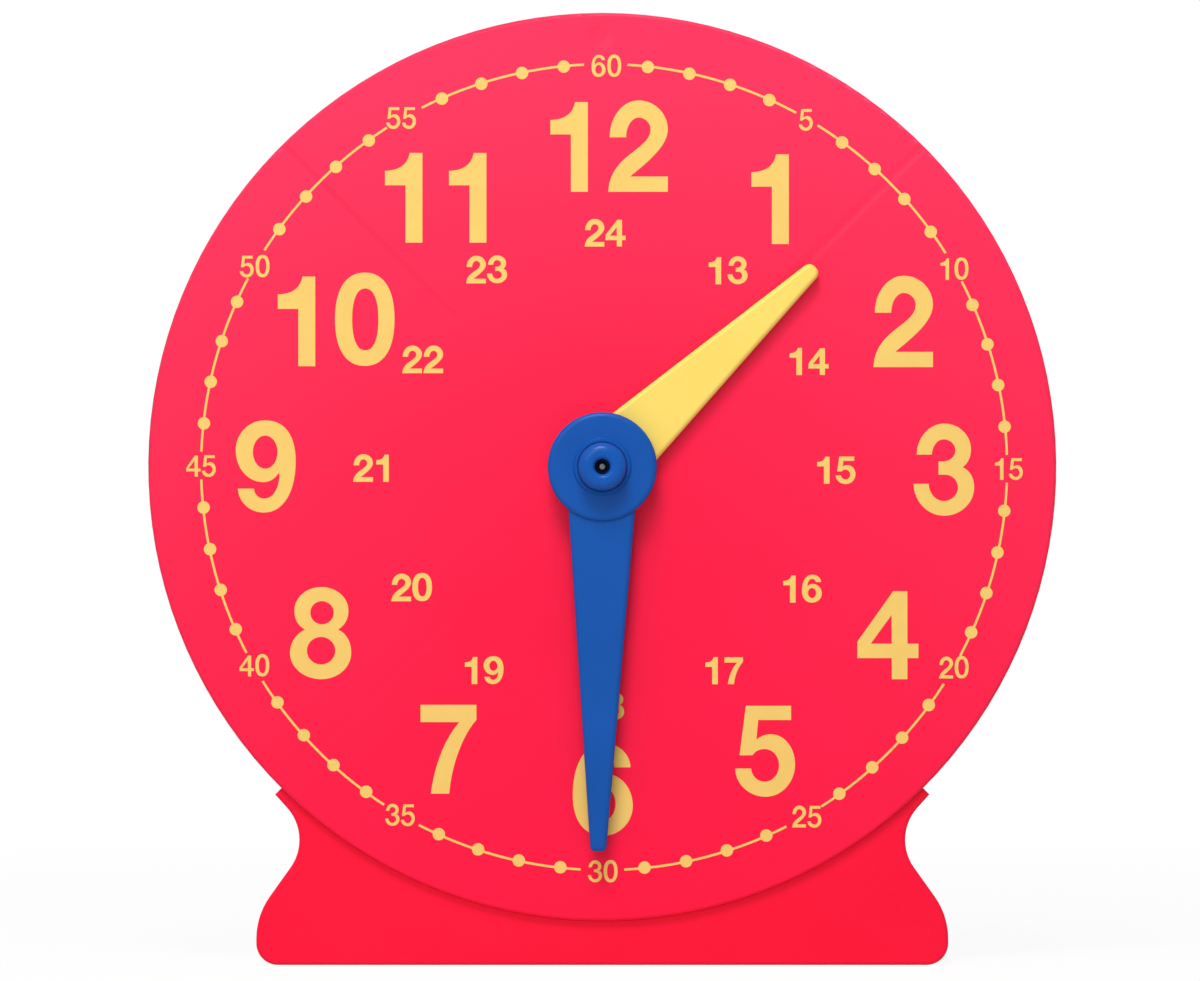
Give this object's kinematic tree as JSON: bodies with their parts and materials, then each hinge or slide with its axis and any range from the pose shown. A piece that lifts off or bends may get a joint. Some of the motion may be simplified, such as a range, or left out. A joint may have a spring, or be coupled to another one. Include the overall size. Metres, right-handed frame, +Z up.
{
  "type": "geared teaching clock",
  "caption": "Round dial on a hollow moulded stand, with an hour hand and a minute hand joined by a gear train behind the dial.",
  "frame": {"origin": "on the table, under the middle of the clock's width and of its depth", "axes": "+X to the right as the viewer sees the dial, +Y away from the viewer, +Z up"},
  "size_m": [0.3, 0.0994, 0.3147],
  "materials": {
    "red_plastic": "glossy moulded red plastic",
    "cover_plastic": "moulded red plastic",
    "blue_plastic": "glossy moulded blue plastic",
    "yellow_plastic": "glossy moulded yellow plastic",
    "gear_plastic": "natural white acetal",
    "arbor_plastic": "black acetal",
    "washer_plastic": "white nylon",
    "axle_steel": "turned steel",
    "spring_steel": "spring steel",
    "zinc_steel": "zinc-plated steel"
  },
  "bodies": {
    "case": {"dial_plate": "red_plastic", "gear_cover": "cover_plastic", "cover_screws": "zinc_steel", "centre_axle": "axle_steel", "idler_axle": "axle_steel", "thrust_washer": "washer_plastic", "spring_washer": "spring_steel", "stand": "red_plastic", "stand_screws": "zinc_steel"},
    "minute": {"minute_arbor": "arbor_plastic", "minute_hand": "blue_plastic", "hand_knob": "blue_plastic"},
    "hour": {"hour_wheel": "gear_plastic", "hour_hand": "yellow_plastic", "hand_washer": "washer_plastic"},
    "idler": {"idler_gear": "gear_plastic"}
  },
  "joints": [
    {"name": "minute_turn", "type": "hinge", "parent": "case", "child": "minute", "pos_m": [0, -0.0323, 0.1647], "axis": [0, 1, 0], "continuous": true},
    {"name": "idler_turn", "type": "hinge", "parent": "case", "child": "idler", "pos_m": [0, -0.0323, 0.1272], "axis": [0, 1, 0], "continuous": true},
    {"name": "hour_turn", "type": "hinge", "parent": "case", "child": "hour", "pos_m": [0, -0.0323, 0.1647], "axis": [0, 1, 0], "continuous": true}
  ],
  "couplings": [
    {"joint": "idler_turn", "follows": "minute_turn", "ratio": -0.25},
    {"joint": "hour_turn", "follows": "minute_turn", "ratio": 0.083333}
  ]
}
